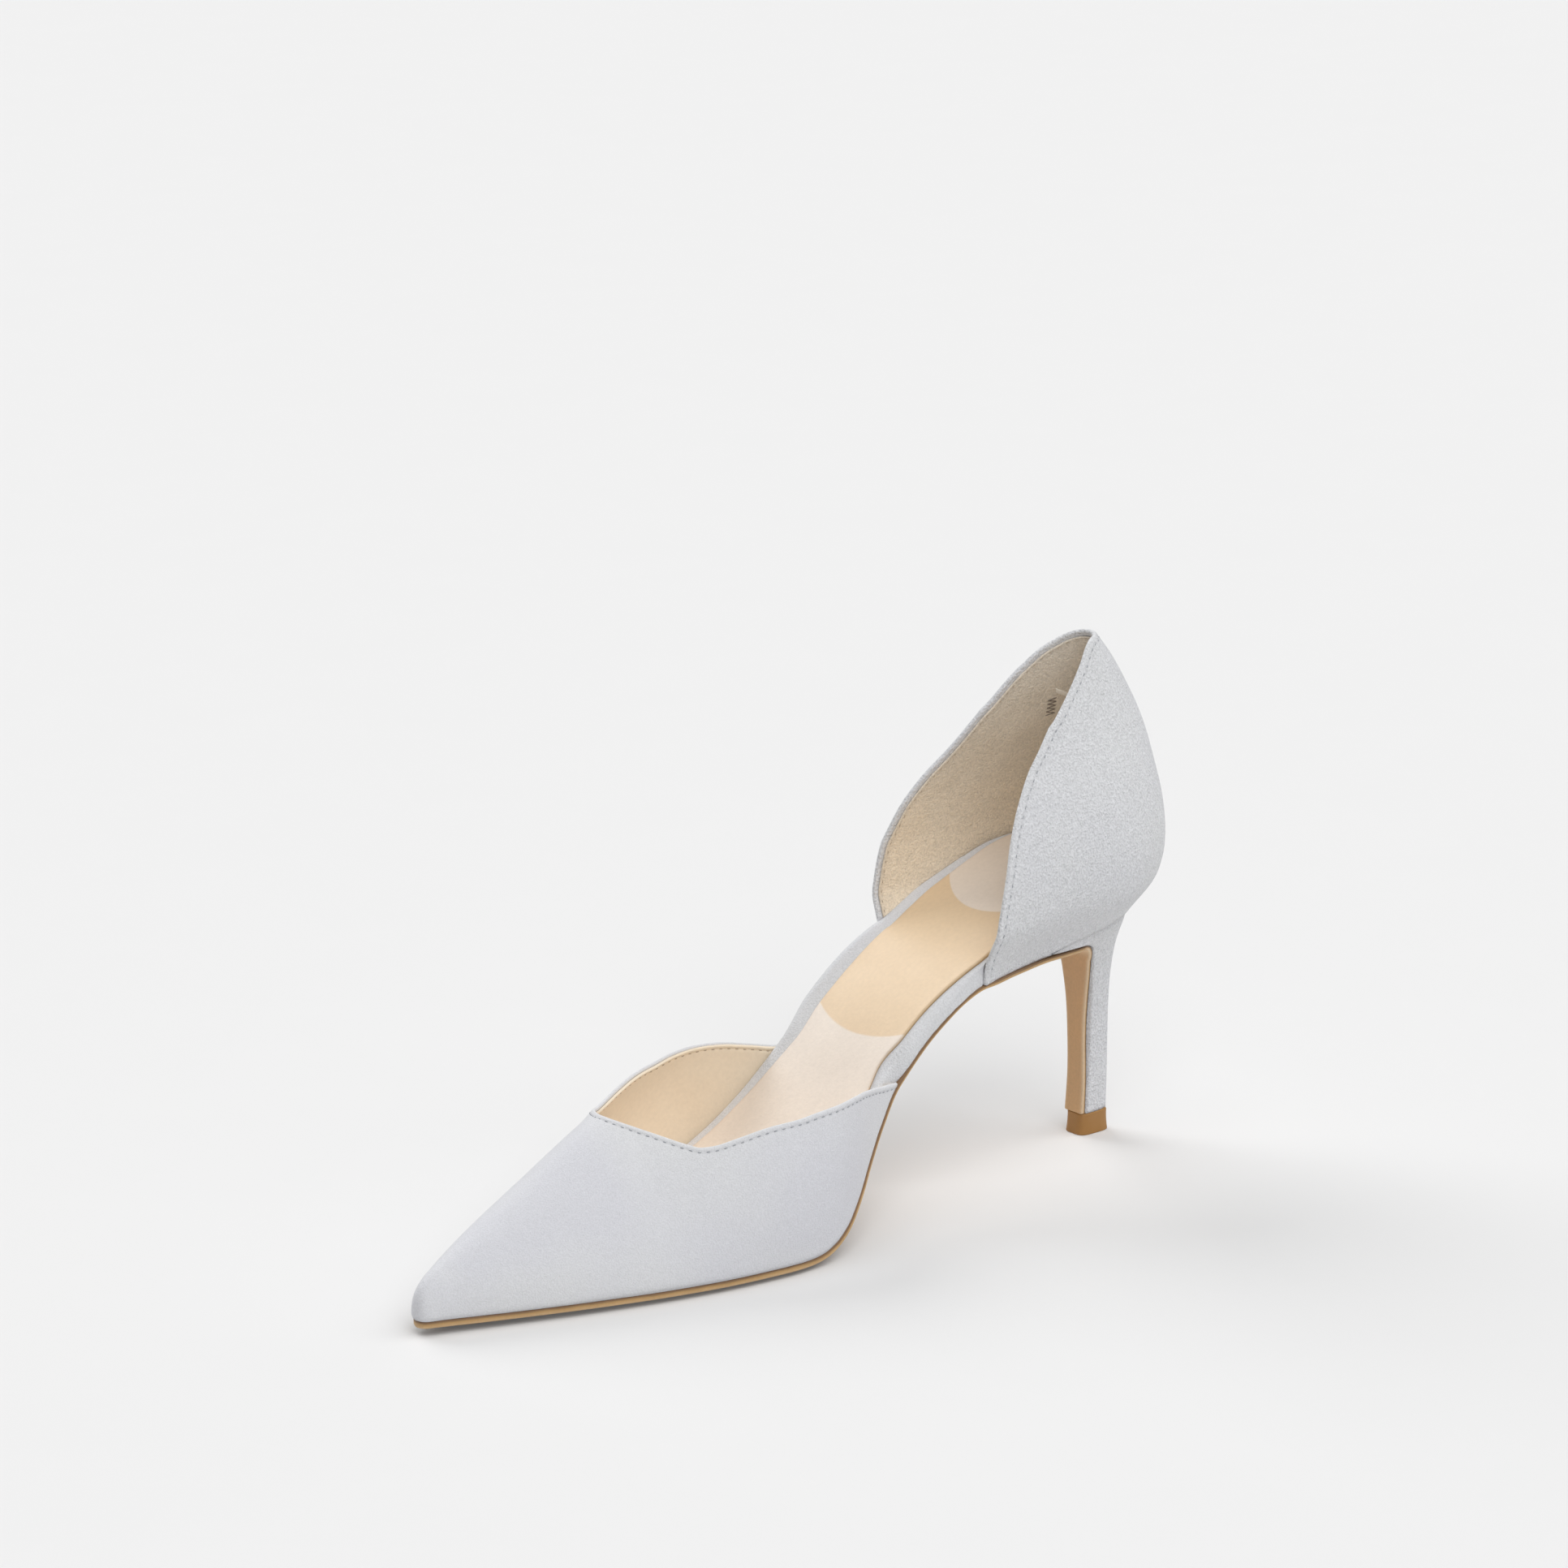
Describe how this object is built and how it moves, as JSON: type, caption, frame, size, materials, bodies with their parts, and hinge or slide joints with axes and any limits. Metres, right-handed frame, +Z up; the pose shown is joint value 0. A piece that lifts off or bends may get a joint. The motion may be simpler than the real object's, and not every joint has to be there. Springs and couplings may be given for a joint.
{
  "type": "high heel shoe",
  "caption": "Pointed suede pump with open sides, separate toe and heel parts, a slim covered heel and a thin tan sole.",
  "frame": {"origin": "middle of the shoe's box at floor level", "axes": "+X from the heel to the toe, +Y to the wearer's left, +Z up"},
  "size_m": [0.2398, 0.0704, 0.1336],
  "materials": {
    "vamp_suede": "suede",
    "quarter_suede": "suede",
    "insole_suede": "suede",
    "sock": "satin",
    "sole": "satin",
    "heel_suede": "suede",
    "lift": "satin",
    "lining": "satin",
    "thread": "matte"
  },
  "bodies": {
    "root": {"vamp": "vamp_suede", "quarter": "quarter_suede", "insole": "insole_suede", "sock_lining": "sock", "outsole": "sole", "heel": "heel_suede", "top_lift": "lift"}
  },
  "joints": []
}
